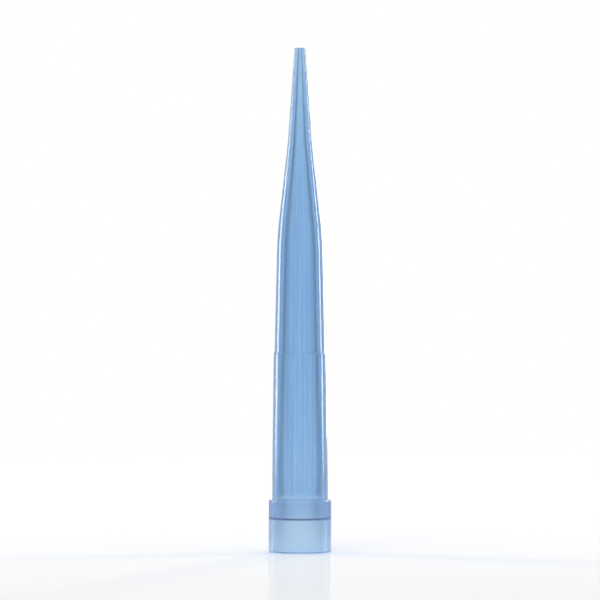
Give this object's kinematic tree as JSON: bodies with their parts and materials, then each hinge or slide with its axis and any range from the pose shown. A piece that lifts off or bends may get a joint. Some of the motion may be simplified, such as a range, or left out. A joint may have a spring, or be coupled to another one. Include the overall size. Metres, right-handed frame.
{
  "type": "pipette tip",
  "caption": "Tapered translucent blue tip with a wide collar, a socket that presses onto a pipette's shaft, and a fine open point.",
  "frame": {"origin": "centre of the mouth rim, in the plane that the tip stands on", "axes": "+Z along the tip's axis, from the wide mouth to the fine point; the tip is round, so X and Y are free"},
  "size_m": [0.0088, 0.0088, 0.071],
  "materials": {
    "blue_polypropylene": "translucent blue moulded polypropylene, glossy outside"
  },
  "bodies": {
    "root": {"pipette_tip": "blue_polypropylene"}
  },
  "joints": []
}
